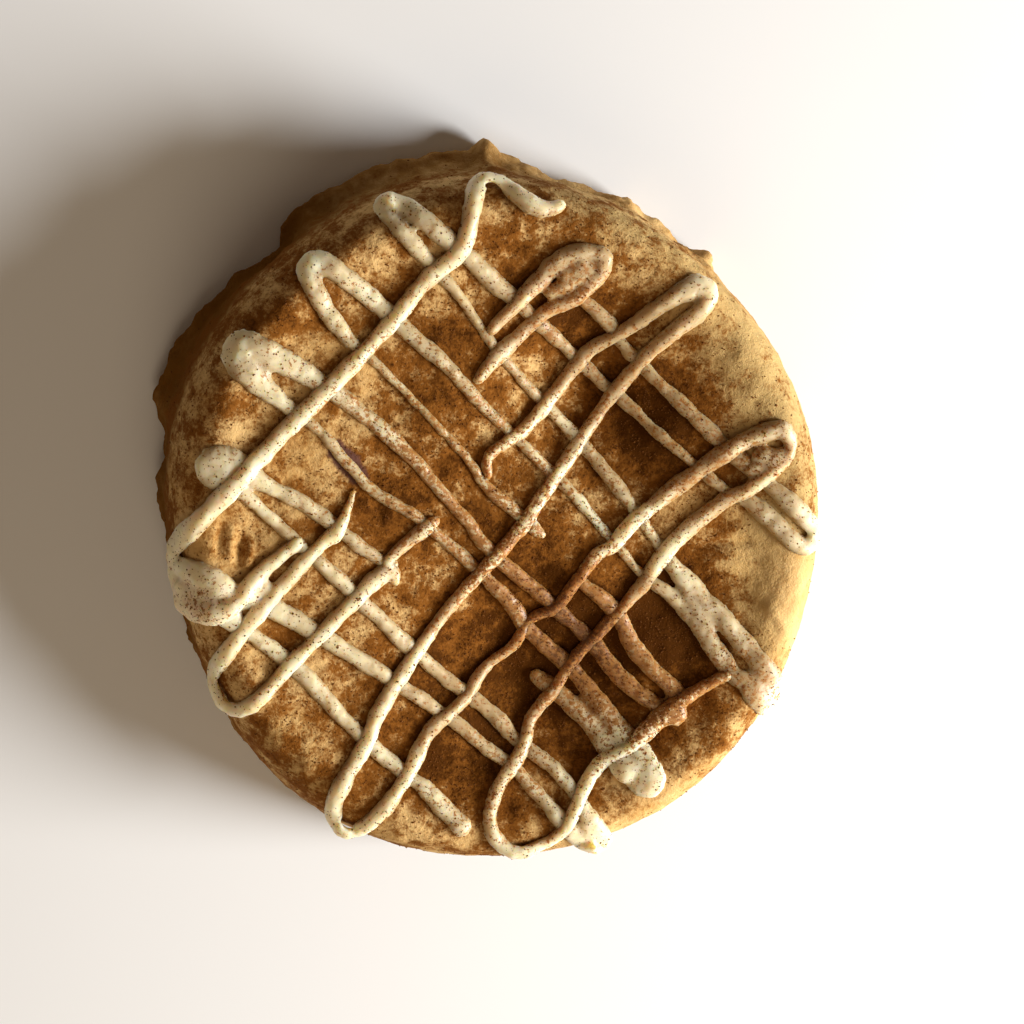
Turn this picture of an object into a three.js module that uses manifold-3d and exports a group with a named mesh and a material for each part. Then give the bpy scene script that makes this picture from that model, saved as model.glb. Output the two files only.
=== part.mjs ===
// A thick, soft snickerdoodle cookie with icing drizzled over it in two crossing passes.
// Millimetres, +Z up, the flat sole on Z = 0. The dough and the drizzle set on it are one solid.
import * as THREE from 'three';
import { ParametricGeometry } from 'three/addons/geometries/ParametricGeometry.js';
import { mergeVertices } from 'three/addons/utils/BufferGeometryUtils.js';
import Module from 'manifold-3d';

const wasm = await Module();
wasm.setup();

// How far the dough's axis stands off, so that the whole cookie is centred on the origin
const AXIS_Y = -1.35;

// Dough
const FOOT_RADIUS = 45.1;
const FOOT_HEIGHT = 2.4;
const SOLE_INSET = 2.2;
const DOME_HEIGHT = 16.2;
const WALL_POWER = 26;
const CROWN_POWER = 2.4;
const WALL_SHARE = 0.85;
// Thin skirt that the dough spread out along one side: width, bearing of its middle and half-spread
const SKIRT = { width: 2.4, bearing: 108, spread: 42, height: 1.7 };
// Lobes of the outline: how many around, height, bearing of one crest
const LOBES = [[2, 1.9, 108], [3, 0.5, 0], [5, 0.35, 19]];
// Crags of the foot: bearing, height, half-width in degrees
const CRAGS = [
  [48, 1.3, 2.5], [65, 0.6, 4], [77, -1.4, 5], [90, 2, 2], [130, -1.8, 4.5], [140, -0.7, 3], [153, 1.3, 7],
  [160, 1.5, 2.5], [169, -0.9, 3], [183, -0.7, 4], [317, -0.5, 4], [334, 0.5, 3], [342, -0.8, 2.5],
];
const CRAG_RISE = 4;
// Swells and hollows of the top: centre x and y, half-length, half-breadth, turn in degrees, height
const SWELLS = [
  [11, 16, 11, 13, -20, -3.6],
  [3, -20, 16, 11, -30, -4],
  [22, -7, 9, 12, 0, -1.2],
  [-31, 4, 14, 28, 10, 1.2],
];
const SWELL_FADE_POWER = 36;
// Raised rim of the top: its height, where it runs as a share of the radius, and its half-width as a share
const RIM = { height: 1.5, share: 0.91, halfWidth: 0.11 };
// Grid of the skin: bearings around, rings of each stretch, and how many bearings a ring of the crown skips
const SEGMENTS = 72;
const SOLE_RINGS = 1;
const EDGE_RINGS = 2;
const WALL_RINGS = 4;
const CROWN_RINGS = 7;
const CROWN_STRIDES = [2, 2, 2, 4, 4, 4, 4];

// Drizzle, in strokes: rows of x, y and bead width along the nozzle's way; the second pass lies over the first
const FIRST_PASS = [
  [[9.5, 30, 2.1], [14.5, 25.5, 2.1], [16, 23, 1.8], [41.5, -2, 2.8], [40, -4, 2.8], [33, 2, 2.5],
    [30.5, 3, 1.8], [-14, 42, 3.1], [-15, 41.5, 3.1], [9.5, 11.5, 1.7], [21, -3.5, 1.8], [37, -23, 3.6],
    [38.5, -26, 4.5]],
  [[36, -25, 3.9], [33, -22, 3.1], [31, -21, 2.5], [24.5, -12, 2.5], [18.5, -7, 1.5], [10, 3, 1.7],
    [-24, 34.5, 3.2], [-25, 33.5, 3.2], [-20, 24.5, 2.2], [-16.5, 21.5, 1.4], [5.5, -2.5, 1.3]],
  [[10, -7.5, 1.4], [15.5, -12.5, 2.4], [24.5, -25.5, 2.8]],
  [[22, -25.5, 2.8], [18, -23, 2.5], [10, -14, 2.2], [-2, -3, 2.1], [-5, 1, 1.8], [-17, 14, 2.5],
    [-33.5, 24, 3.8], [-34, 22.5, 3.9], [-24, 13, 1.7], [-16.5, 4.5, 1.8], [-11.5, 1.5, 1.7], [18, -31, 3.6],
    [19, -34, 5.3], [20, -36, 4.6]],
  [[4.5, -20.5, 2.4], [11.5, -26.5, 2.9], [17.5, -35, 3.6]],
  [[-13.5, -5.5, 1.8], [-30.5, 6, 2.4], [-35.5, 9, 5], [-37.5, 8.5, 5.3], [-32.5, 4, 2.1], [-9.5, -18.5, 2.2],
    [6, -31.5, 2.1], [13, -44, 4.5], [11, -43, 3.4], [1.5, -32.5, 2], [-33, -8.5, 3.4], [-37.5, -9, 4.5]],
  [[-37.5, -9.5, 3.9], [-33, -13, 2.4], [-23.5, -21.5, 2.4], [-19.5, -26.5, 2.2], [-11, -34, 2.2],
    [-4.5, -41, 3.6]],
  [[24.5, -10, 2], [27, -13.5, 2.8], [28.5, -15.5, 2.2]],
  [[32, -21.5, 2.2], [34, -23.5, 4.2], [37, -26.5, 3.9]],
];
const SECOND_PASS = [
  [[8.5, 41, 1.8], [5, 40.5, 2.7], [-2, 44.5, 2.5], [-5.5, 35.5, 2.7], [-14.5, 26, 2.4], [-43, -4.5, 3.4],
    [-39.5, -10, 3.9], [-36, -10, 2.5], [-26, -1, 1.8]],
  [[-42, -4.5, 3.4], [-39.5, -5.5, 4.2], [-34.5, -8, 2.8]],
  [[-42.5, -7, 3.9], [-39.5, -8.5, 4.5], [-36.5, -9, 3.4]],
  [[-19, 5, 0.7], [-21.5, -0.5, 2.1], [-23.5, -2, 2.1], [-36.5, -17, 2.5], [-37, -21.5, 2.7],
    [-34.5, -23.5, 2.4], [-14.5, -6, 2.4], [-13.5, -8, 1.4]],
  [[-2, 25, 1.5], [9.5, 35, 2.8], [13, 34.5, 2.8], [9.5, 29, 2.5], [5.5, 27, 2.2], [-3.5, 18, 1.4]],
  [[5.5, 29.5, 1.7], [9.5, 31.5, 2.4], [12.5, 34, 2.2]],
  [[-1.5, 5.5, 1.3], [-1.5, 8.5, 1.8], [4, 12.5, 2.1], [12.5, 22.5, 2.1], [25.5, 30.5, 3.2], [27, 30, 3.1],
    [26.5, 28, 2.8], [20.5, 22.5, 2.2], [4.5, 1.5, 2.1], [-15, -22.5, 2.4], [-17.5, -27.5, 2.4],
    [-22, -36, 2.7], [-19.5, -40.5, 2.7], [-9, -27, 2.1], [-4.5, -23.5, 2.1], [-2, -20, 1.8], [2.5, -16.5, 1.7],
    [4, -13.5, 1.7], [7.5, -11.5, 1.7], [13, -4.5, 2], [37, 11.5, 2.7], [38, 8.5, 1.7], [23, -3.5, 2.4],
    [18.5, -9.5, 2], [4.5, -26.5, 1.8], [3, -30.5, 2], [-1, -36.5, 2.1], [-1.5, -40.5, 2.2], [1.5, -43.5, 2.4],
    [7.5, -41.5, 2], [13, -33, 2.2], [16, -31.5, 2.1], [25.5, -23.5, 2], [31.5, -20.5, 2], [33, -21, 1.7]],
  [[32, 6, 2], [35, 7, 2.8], [37.5, 9, 2.2]],
  [[25, -27, 2], [22, -26.5, 2.8], [20.5, -28, 2.2]],
  [[-15.5, -5, 1.8], [-11.5, -1, 1.8], [-8, 1, 1.4]],
];
// A bead's section round from its root: share of the half-width, then of the height or, below 0, of the root
const BEAD_SECTION = [[-1, -1], [-0.82, 0.6], [0, 1], [0.82, 0.6], [1, -1]];
const BEAD_ROOT = 1;
const BEAD_TALLEST = 1.55;
const BEAD_SPREAD = 2.3;
const SECOND_PASS_LIFT = 0.4;
const SHOULDER_LIMIT = 0.984;
// Turn in degrees past which a stroke is cut into two strands, and the length between a strand's sections
const HAIRPIN_TURN = 75;
const SECTION_STEP = 7.5;
// Nose of a bead: how far along its half-width the narrower section stands, its width and its height
const NOSE = { along: 0.7, width: 0.7, height: 0.8 };
// Points closer than this are one
const SAME_POINT = 1e-4;
// Reach over which the slope of the top is taken
const SLOPE_REACH = 0.4;

const rad = THREE.MathUtils.degToRad;

/** Bearing of one direction from another, between half a turn back and half a turn on. */
function turnBetween(bearing, other) {
  return THREE.MathUtils.euclideanModulo(bearing - other + Math.PI, 2 * Math.PI) - Math.PI;
}

/** Bell curve that is 1 in the middle and fades over the half-width. */
function bell(away, halfWidth) {
  return Math.exp(-((away / halfWidth) ** 2));
}

/** Width of the skirt at a bearing. */
function skirtWidth(bearing) {
  return SKIRT.width * bell(turnBetween(bearing, rad(SKIRT.bearing)), rad(SKIRT.spread));
}

/** Radius of the dome's wall at the height of the foot. */
function domeRadius(bearing) {
  let radius = FOOT_RADIUS - skirtWidth(bearing);
  for (const [count, height, crest] of LOBES) {
    radius += height * Math.cos(count * (bearing - rad(crest)));
  }
  return radius;
}

/** How far the crags stand out of the foot at a bearing, or how deep they cut in. */
function cragHeight(bearing) {
  let reach = 0;
  for (const [place, height, halfWidth] of CRAGS) {
    reach += height * bell(turnBetween(bearing, rad(place)), rad(halfWidth));
  }
  return reach;
}

/** Height of the raised rim, the swells and the hollows at a place on the top, fading out at its edge. */
function swellAt(x, y, share) {
  let height = RIM.height * bell(share - RIM.share, RIM.halfWidth);
  for (const [cx, cy, halfLength, halfBreadth, turn, rise] of SWELLS) {
    const along = (x - cx) * Math.cos(rad(turn)) + (y - cy) * Math.sin(rad(turn));
    const across = (y - cy) * Math.cos(rad(turn)) - (x - cx) * Math.sin(rad(turn));
    height += rise * bell(along, halfLength) * bell(across, halfBreadth);
  }
  return height * (1 - share ** SWELL_FADE_POWER);
}

/** Height of the dough's top over a place, a superellipse dome with the swells laid on it. */
function topHeight(x, y) {
  const share = Math.min(Math.hypot(x, y) / domeRadius(Math.atan2(y, x)), 1);
  const dome = (1 - share ** WALL_POWER) ** (1 / CROWN_POWER);
  return FOOT_HEIGHT + (DOME_HEIGHT - FOOT_HEIGHT) * dome + swellAt(x, y, share);
}

/** Point of the dough's skin: the sole, the rounded lower edge, the wall, then the crown up to its middle. */
function doughPoint(bearing, ring, target) {
  const dome = domeRadius(bearing);
  const foot = dome + skirtWidth(bearing) + cragHeight(bearing);
  let radius;
  let height;
  if (ring <= SOLE_RINGS) {
    radius = (foot - SOLE_INSET) * (ring / SOLE_RINGS);
    height = 0;
  } else if (ring < SOLE_RINGS + EDGE_RINGS) {
    const turn = ((ring - SOLE_RINGS) / EDGE_RINGS) * (Math.PI / 2);
    radius = foot - SOLE_INSET * (1 - Math.sin(turn));
    height = FOOT_HEIGHT * (1 - Math.cos(turn));
  } else if (ring <= SOLE_RINGS + EDGE_RINGS + WALL_RINGS) {
    const climb = ((ring - SOLE_RINGS - EDGE_RINGS) / WALL_RINGS) * WALL_SHARE;
    const rise = climb * (DOME_HEIGHT - FOOT_HEIGHT);
    const share = (1 - climb ** CROWN_POWER) ** (1 / WALL_POWER);
    const spread = skirtWidth(bearing) * bell(rise, SKIRT.height);
    radius = dome * share + spread + cragHeight(bearing) * bell(rise, CRAG_RISE);
    height = FOOT_HEIGHT + rise + swellAt(radius * Math.cos(bearing), radius * Math.sin(bearing), share);
  } else {
    const rim = (1 - WALL_SHARE ** CROWN_POWER) ** (1 / WALL_POWER);
    const inward = (ring - SOLE_RINGS - EDGE_RINGS - WALL_RINGS) / CROWN_RINGS;
    radius = dome * rim * (1 - inward);
    height = topHeight(radius * Math.cos(bearing), radius * Math.sin(bearing));
  }
  target.set(radius * Math.cos(bearing), radius * Math.sin(bearing), height);
}

/** Closed skin of the dough on a grid of bearings and rings; the rings of the crown take fewer bearings. */
function doughGeometry() {
  const rimRing = SOLE_RINGS + EDGE_RINGS + WALL_RINGS;
  const rings = rimRing + CROWN_RINGS;
  const skin = (u, v, target) => {
    const ring = Math.round(v * rings);
    const stride = ring > rimRing ? CROWN_STRIDES[ring - rimRing - 1] : 1;
    const step = Math.round(Math.floor((u * SEGMENTS + 0.5) / stride) * stride) % SEGMENTS;
    doughPoint((step / SEGMENTS) * 2 * Math.PI, ring, target);
  };
  return new ParametricGeometry(skin, SEGMENTS, rings);
}

/** Place on the dough for a drizzle point, drawn in where it would pass the shoulder. */
function drizzlePlace(x, y) {
  const limit = SHOULDER_LIMIT * domeRadius(Math.atan2(y, x));
  const scale = Math.min(1, limit / Math.hypot(x, y));
  return new THREE.Vector3(x * scale, y * scale, topHeight(x * scale, y * scale));
}

/** Outward normal of the dough's top at a place. */
function topNormal(place) {
  const { x, y } = place;
  const fallX = topHeight(x - SLOPE_REACH, y) - topHeight(x + SLOPE_REACH, y);
  const fallY = topHeight(x, y - SLOPE_REACH) - topHeight(x, y + SLOPE_REACH);
  return new THREE.Vector3(fallX, fallY, 2 * SLOPE_REACH).normalize();
}

/** Height of a bead over the dough for its width: wide blobs settle flatter. */
function beadHeight(width) {
  return BEAD_TALLEST * Math.tanh(width / BEAD_SPREAD);
}

/** Cuts a stroke where it doubles back, so that each strand is a run without a hairpin. */
function strandsOf(stroke) {
  const strands = [];
  let start = 0;
  for (let i = 1; i < stroke.length - 1; i += 1) {
    const before = Math.atan2(stroke[i][1] - stroke[i - 1][1], stroke[i][0] - stroke[i - 1][0]);
    const after = Math.atan2(stroke[i + 1][1] - stroke[i][1], stroke[i + 1][0] - stroke[i][0]);
    if (Math.abs(turnBetween(after, before)) > rad(HAIRPIN_TURN)) {
      strands.push([start, i]);
      start = i;
    }
  }
  strands.push([start, stroke.length - 1]);
  return strands;
}

/** Samples of x, y and width along part of a stroke, on one smooth curve through its points. */
function strandSamples(stroke, first, last) {
  const points = stroke.map((row) => new THREE.Vector3(...row));
  const curve = new THREE.CatmullRomCurve3(points, false, 'centripetal');
  const samples = [];
  for (let i = first; i < last; i += 1) {
    const length = Math.hypot(stroke[i + 1][0] - stroke[i][0], stroke[i + 1][1] - stroke[i][1]);
    const steps = Math.max(1, Math.round(length / SECTION_STEP));
    for (let step = 0; step < steps; step += 1) {
      samples.push(curve.getPoint((i + step / steps) / (stroke.length - 1)));
    }
  }
  samples.push(curve.getPoint(last / (stroke.length - 1)));
  return samples;
}

/** Cross-sections of a bead along its samples, each square to its way and upright on the dough. */
function beadSections(samples, lift) {
  return samples.map((sample, i) => {
    const back = samples[Math.max(i - 1, 0)];
    const on = samples[Math.min(i + 1, samples.length - 1)];
    const place = drizzlePlace(sample.x, sample.y);
    const normal = topNormal(place);
    const ahead = drizzlePlace(on.x, on.y).sub(drizzlePlace(back.x, back.y)).normalize();
    const side = new THREE.Vector3().crossVectors(ahead, normal).normalize();
    return { place, ahead, side, normal, halfWidth: sample.z / 2, height: beadHeight(sample.z) + lift };
  });
}

/** Rounded nose past an end of a bead: one narrower section, then a point sunk in the dough. */
function noseSections(section, direction) {
  const along = NOSE.along * direction * section.halfWidth;
  const shoulder = section.place.clone().addScaledVector(section.ahead, along);
  const tip = section.place.clone().addScaledVector(section.ahead, direction * section.halfWidth);
  tip.addScaledVector(section.normal, -BEAD_ROOT / 2);
  return [
    {
      ...section,
      place: shoulder,
      halfWidth: NOSE.width * section.halfWidth,
      height: NOSE.height * section.height,
    },
    { ...section, place: tip, halfWidth: 0, height: 0 },
  ];
}

/** Closed bead along its samples: a rounded back over the dough, on a root that sinks into it. */
function beadGeometry(samples, lift) {
  const run = beadSections(samples, lift);
  const start = noseSections(run[0], -1).reverse();
  const sections = [...start, ...run, ...noseSections(run[run.length - 1], 1)];
  const sides = BEAD_SECTION.length;
  const skin = (u, v, target) => {
    const section = sections[Math.round(v * (sections.length - 1))];
    const [across, up] = BEAD_SECTION[Math.round(u * sides) % sides];
    const root = section.halfWidth > 0 ? BEAD_ROOT : 0;
    target.copy(section.place);
    target.addScaledVector(section.side, across * section.halfWidth);
    target.addScaledVector(section.normal, up * (up > 0 ? section.height : root));
  };
  return new ParametricGeometry(skin, sides, sections.length - 1);
}

/** Solid for joining, from a closed geometry whose poles and seam are merged. */
function solidOf(geometry) {
  geometry.deleteAttribute('normal');
  geometry.deleteAttribute('uv');
  const merged = mergeVertices(geometry, SAME_POINT);
  const corners = merged.index.array;
  const kept = [];
  for (let i = 0; i < corners.length; i += 3) {
    const [a, b, c] = corners.slice(i, i + 3);
    if (a !== b && b !== c && c !== a) {
      kept.push(a, b, c);
    }
  }
  const vertProperties = Float32Array.from(merged.attributes.position.array);
  const triVerts = Uint32Array.from(kept);
  return new wasm.Manifold(new wasm.Mesh({ numProp: 3, vertProperties, triVerts }));
}

/** Dough and drizzle joined, with anything loose or sealed inside left out. */
function cookieGeometry() {
  let cookie = solidOf(doughGeometry());
  for (const [strokes, lift] of [[FIRST_PASS, 0], [SECOND_PASS, SECOND_PASS_LIFT]]) {
    for (const stroke of strokes) {
      for (const [first, last] of strandsOf(stroke)) {
        cookie = cookie.add(solidOf(beadGeometry(strandSamples(stroke, first, last), lift)));
      }
    }
  }
  const bodies = cookie.decompose().sort((a, b) => b.volume() - a.volume());
  const mesh = bodies[0].getMesh();
  const geometry = new THREE.BufferGeometry();
  geometry.setAttribute('position', new THREE.BufferAttribute(Float32Array.from(mesh.vertProperties), 3));
  geometry.setIndex(Array.from(mesh.triVerts));
  geometry.computeVertexNormals();
  return geometry;
}

const bakedDough = new THREE.MeshStandardMaterial({ color: 0xc08a4c, roughness: 0.85, metalness: 0 });
const cookie = new THREE.Mesh(cookieGeometry(), bakedDough);
cookie.name = 'cookie';
cookie.position.set(0, AXIS_Y, 0);
const model = new THREE.Group();
model.add(cookie);

export default model;
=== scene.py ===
"""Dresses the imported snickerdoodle: craggy baked dough, icing drizzled in two passes, and ground cinnamon.

The forms are worked out in millimetres from the dough's own axis, and their meshes are in metres in the
row's frame.
"""
from __future__ import annotations

import logging
import math
from dataclasses import dataclass, field
from enum import Enum

import bpy
import numpy as np
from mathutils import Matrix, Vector

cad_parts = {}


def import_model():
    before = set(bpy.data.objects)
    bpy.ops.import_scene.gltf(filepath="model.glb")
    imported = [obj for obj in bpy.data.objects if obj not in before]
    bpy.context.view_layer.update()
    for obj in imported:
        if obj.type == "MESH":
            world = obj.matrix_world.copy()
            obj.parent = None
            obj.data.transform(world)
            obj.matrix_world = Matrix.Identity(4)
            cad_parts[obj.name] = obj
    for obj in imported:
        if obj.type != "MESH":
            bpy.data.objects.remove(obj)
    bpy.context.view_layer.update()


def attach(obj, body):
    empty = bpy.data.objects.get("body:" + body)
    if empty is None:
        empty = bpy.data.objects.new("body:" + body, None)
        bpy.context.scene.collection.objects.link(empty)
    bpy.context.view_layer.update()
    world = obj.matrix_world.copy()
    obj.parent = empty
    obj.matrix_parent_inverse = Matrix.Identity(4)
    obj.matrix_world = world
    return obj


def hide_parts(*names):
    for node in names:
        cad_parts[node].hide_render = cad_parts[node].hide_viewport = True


LOG = logging.getLogger("snickerdoodle")
MM = 0.001
# Where the dough's axis stands along +Y of the row's frame, in millimetres
AXIS_Y = -1.35
Place = tuple[float, float, float]
Places = tuple[Place, ...]
Colour = tuple[float, float, float]


def bell(away: np.ndarray, half_width: float) -> np.ndarray:
    """Give a bell curve: one at no distance, falling as the square of distance over half width."""
    return np.exp(-np.square(away / half_width))


def turn_between(bearing: np.ndarray, other: float) -> np.ndarray:
    """Give the signed turn between two bearings, from minus half a turn to half a turn."""
    return np.mod(bearing - other + math.pi, 2 * math.pi) - math.pi


def step_up(value: np.ndarray, low: float, high: float) -> np.ndarray:
    """Rise smoothly from nought at the low value to one at the high value."""
    share = np.clip((value - low) / (high - low), 0, 1)
    return share * share * (3 - 2 * share)


def heading(bearing: float, elevation: float) -> Vector:
    """Give the unit direction at a bearing from +X and an elevation over the floor, both in degrees."""
    turn = math.radians(bearing)
    climb = math.radians(elevation)
    return Vector((math.cos(turn) * math.cos(climb), math.sin(turn) * math.cos(climb), math.sin(climb)))


class CrumbNoise:
    """Seeded gradient noise between about minus one and one, for lumps and crumb."""

    LATTICE = 256
    GAIN = 1.7
    LAYER_SHIFT = 17.3

    def __init__(self, seed: int) -> None:
        """Draw the lattice's order and its random slopes from the seed."""
        draw = np.random.default_rng(seed)
        self.order = draw.permutation(self.LATTICE)
        slopes = draw.normal(size=(self.LATTICE, 3))
        self.slopes = slopes / np.linalg.norm(slopes, axis=1, keepdims=True)

    def plain(self, points: np.ndarray) -> np.ndarray:
        """Blend the slopes at a cube's eight corners by a fifth-power fade.

        Args:
            points: places, in lattice units, with three numbers in the last axis.

        Returns:
            One value for each place.
        """
        cell = np.floor(points).astype(int)
        local = points - cell
        fade = local**3 * (local * (local * 6 - 15) + 10)
        total = np.zeros(points.shape[:-1])
        for corner in np.ndindex(2, 2, 2):
            at = (cell + corner) % self.LATTICE
            column = self.order[(self.order[at[..., 0]] + at[..., 1]) % self.LATTICE]
            slope = self.slopes[self.order[(column + at[..., 2]) % self.LATTICE]]
            share = np.prod(np.where(corner, fade, 1 - fade), axis=-1)
            total += share * np.sum((local - corner) * slope, axis=-1)
        return self.GAIN * total

    def layered(self, points: np.ndarray, wavelength: float, layers: int = 3) -> np.ndarray:
        """Add layers of noise, each half as high and half as long as the one before.

        Args:
            points: places in millimetres.
            wavelength: length of the first layer's waves, in millimetres.
            layers: number of layers.

        Returns:
            One value for each place.
        """
        total = np.zeros(points.shape[:-1])
        for layer in range(layers):
            total += 0.5**layer * self.plain(points * (2**layer / wavelength) + self.LAYER_SHIFT * layer)
        return total


@dataclass(frozen=True)
class Patch:
    """An oval patch of the top: its centre, half sizes, turn in degrees, and strength at the centre."""

    x: float
    y: float
    half_length: float
    half_breadth: float
    turn: float
    strength: float

    def spread(self, x: np.ndarray, y: np.ndarray) -> np.ndarray:
        """Give the strength times a bell along the oval and a bell across it."""
        turn = math.radians(self.turn)
        along = (x - self.x) * math.cos(turn) + (y - self.y) * math.sin(turn)
        across = (y - self.y) * math.cos(turn) - (x - self.x) * math.sin(turn)
        return self.strength * bell(along, self.half_length) * bell(across, self.half_breadth)


def oval_patches(*rows: tuple[float, ...]) -> tuple[Patch, ...]:
    """Make a patch of each row of numbers, in the order of its fields."""
    return tuple(Patch(*row) for row in rows)


@dataclass(frozen=True)
class Crease:
    """A furrow or ridge of the crust between two places, with its half width and height."""

    x0: float
    y0: float
    x1: float
    y1: float
    half_width: float
    height: float

    def rise(self, x: np.ndarray, y: np.ndarray) -> np.ndarray:
        """Give the height times a bell of the distance from the line, thinning to its ends."""
        run_x = self.x1 - self.x0
        run_y = self.y1 - self.y0
        along = ((x - self.x0) * run_x + (y - self.y0) * run_y) / (run_x**2 + run_y**2)
        held = np.clip(along, 0, 1)
        away = np.hypot(x - self.x0 - held * run_x, y - self.y0 - held * run_y)
        return self.height * bell(away, self.half_width) * (1 - np.abs(2 * held - 1) ** 3)


def patches_at(patches: tuple[Patch, ...], x: np.ndarray, y: np.ndarray) -> np.ndarray:
    """Add up what all the patches give at each place."""
    return sum((patch.spread(x, y) for patch in patches), np.zeros(np.shape(x)))


def mesh_object(name: str, points: np.ndarray, faces: list[list[int]]) -> bpy.types.Object:
    """Make a smooth mesh object in the row's frame from a form in the dough's frame.

    Args:
        name: the piece's name.
        points: corners in millimetres from the dough's axis.
        faces: corner numbers of each face, seen from outside.

    Returns:
        The new object, linked to the scene.
    """
    mesh = bpy.data.meshes.new(name)
    mesh.from_pydata((points + (0, AXIS_Y, 0)) * MM, [], faces)
    mesh.update()
    piece = bpy.data.objects.new(name, mesh)
    bpy.context.scene.collection.objects.link(piece)
    mesh.shade_smooth()
    return piece


def form_points(piece: bpy.types.Object) -> np.ndarray:
    """Read a piece's corners back, in millimetres from the dough's axis."""
    flat = np.empty(3 * len(piece.data.vertices))
    piece.data.vertices.foreach_get("co", flat)
    return flat.reshape(-1, 3) / MM - (0, AXIS_Y, 0)


def form_normals(piece: bpy.types.Object) -> np.ndarray:
    """Read the normals at a piece's corners."""
    flat = np.empty(3 * len(piece.data.vertices))
    piece.data.vertices.foreach_get("normal", flat)
    return flat.reshape(-1, 3)


def move_points(piece: bpy.types.Object, points: np.ndarray) -> None:
    """Put a piece's corners at new places, in millimetres from the dough's axis."""
    piece.data.vertices.foreach_set("co", ((points + (0, AXIS_Y, 0)) * MM).ravel())
    piece.data.update()


def mark(piece: bpy.types.Object, name: str, values: np.ndarray) -> None:
    """Keep one number for each corner of a piece, for its finish to read."""
    attribute = piece.data.attributes.new(name, "FLOAT", "POINT")
    attribute.data.foreach_set("value", np.ascontiguousarray(values, dtype=np.float32))


class Bench:
    """Puts one node material together with short calls."""

    def __init__(self, name: str) -> None:
        """Start a material with its shader and the piece's own coordinates."""
        self.material = bpy.data.materials.new(name)
        self.material.use_nodes = True
        self.tree = self.material.node_tree
        self.shader = self.tree.nodes["Principled BSDF"]
        self.place = self.tree.nodes.new("ShaderNodeTexCoord").outputs["Object"]

    def feed(self, socket: bpy.types.NodeSocket, value: object) -> None:
        """Link a socket to another one, or set it to a plain value."""
        if isinstance(value, bpy.types.NodeSocket):
            self.tree.links.new(value, socket)
        elif isinstance(value, tuple) and len(value) == 3 and len(socket.default_value) == 4:
            socket.default_value = (*value, 1)
        else:
            socket.default_value = value

    def attribute(self, name: str) -> bpy.types.NodeSocket:
        """Read a number that the piece keeps for each corner."""
        node = self.tree.nodes.new("ShaderNodeAttribute")
        node.attribute_name = name
        return node.outputs["Fac"]

    def noise(self, size: float, detail: float = 2, roughness: float = 0.5) -> bpy.types.NodeSocket:
        """Give cloudy noise whose waves are as long as the size, in millimetres."""
        node = self.tree.nodes.new("ShaderNodeTexNoise")
        self.feed(node.inputs["Vector"], self.place)
        node.inputs["Scale"].default_value = 1 / (size * MM)
        node.inputs["Detail"].default_value = detail
        node.inputs["Roughness"].default_value = roughness
        return node.outputs["Fac"]

    def sum(self, *terms: tuple[object, float]) -> bpy.types.NodeSocket:
        """Add up terms, each a socket and the factor that it is taken by."""
        total: object = 0.0
        for value, factor in terms:
            node = self.tree.nodes.new("ShaderNodeMath")
            node.operation = "MULTIPLY_ADD"
            self.feed(node.inputs[0], value)
            self.feed(node.inputs[1], factor)
            self.feed(node.inputs[2], total)
            total = node.outputs[0]
        return total

    def between(self, value: object, low: float, high: float) -> bpy.types.NodeSocket:
        """Rise smoothly from nought at the low value to one at the high value."""
        node = self.tree.nodes.new("ShaderNodeMapRange")
        node.interpolation_type = "SMOOTHSTEP"
        self.feed(node.inputs["Value"], value)
        node.inputs["From Min"].default_value = low
        node.inputs["From Max"].default_value = high
        return node.outputs["Result"]

    def blend(self, share: object, one: object, other: object) -> bpy.types.NodeSocket:
        """Go from one colour to the other by the share."""
        node = self.tree.nodes.new("ShaderNodeMix")
        node.data_type = "RGBA"
        self.feed(node.inputs[0], share)
        self.feed(node.inputs[6], one)
        self.feed(node.inputs[7], other)
        return node.outputs[2]

    def bump(self, height: object, depth: float, strength: float) -> None:
        """Roughen the shader's normals by a height, with its depth in millimetres."""
        node = self.tree.nodes.new("ShaderNodeBump")
        node.inputs["Strength"].default_value = strength
        node.inputs["Distance"].default_value = depth * MM
        self.feed(node.inputs["Height"], height)
        self.feed(self.shader.inputs["Normal"], node.outputs["Normal"])

    def set(self, **values: object) -> None:
        """Set or link the shader's sockets by name, with underscores for spaces."""
        for name, value in values.items():
            self.feed(self.shader.inputs[name.replace("_", " ")], value)


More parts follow.
